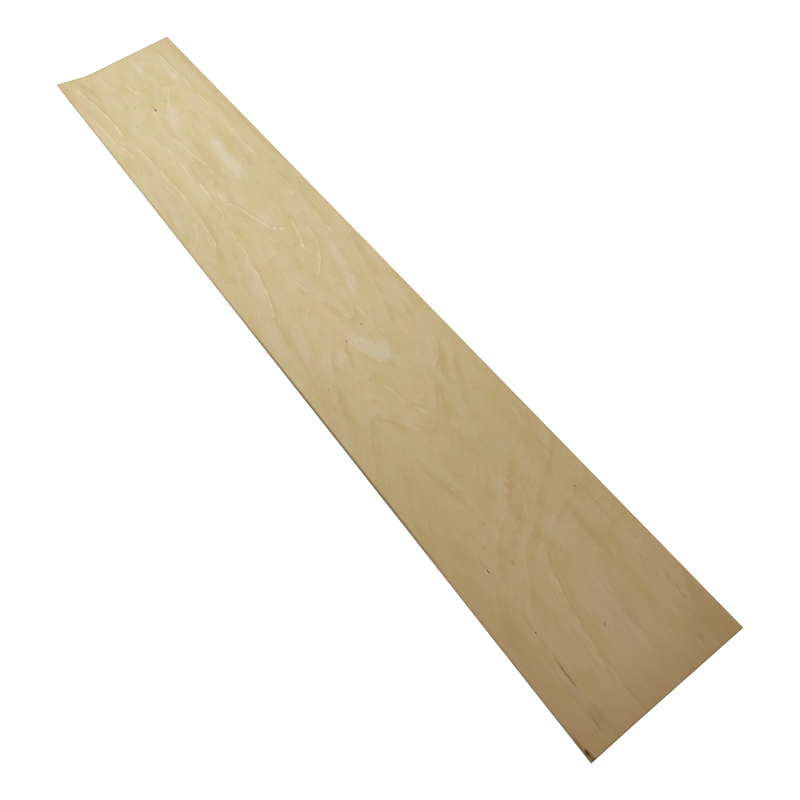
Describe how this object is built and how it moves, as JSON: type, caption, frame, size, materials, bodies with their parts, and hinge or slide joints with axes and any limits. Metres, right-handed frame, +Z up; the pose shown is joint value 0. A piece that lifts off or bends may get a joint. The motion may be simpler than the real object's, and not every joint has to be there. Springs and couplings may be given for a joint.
{
  "type": "basswood sheet",
  "caption": "Long thin sheet of sanded basswood stock with square-cut ends and one long edge lifted a little by warping, for model making and laser or knife cutting.",
  "frame": {"origin": "centre of the sheet's plan outline, at floor level under its flat part", "axes": "+X along the grain and length, +Y across the width towards the lifted edge, +Z up"},
  "size_m": [1.2192, 0.2024, 0.0113],
  "materials": {
    "basswood": "sanded bare wood, matte"
  },
  "bodies": {
    "root": {"sheet": "basswood"}
  },
  "joints": []
}
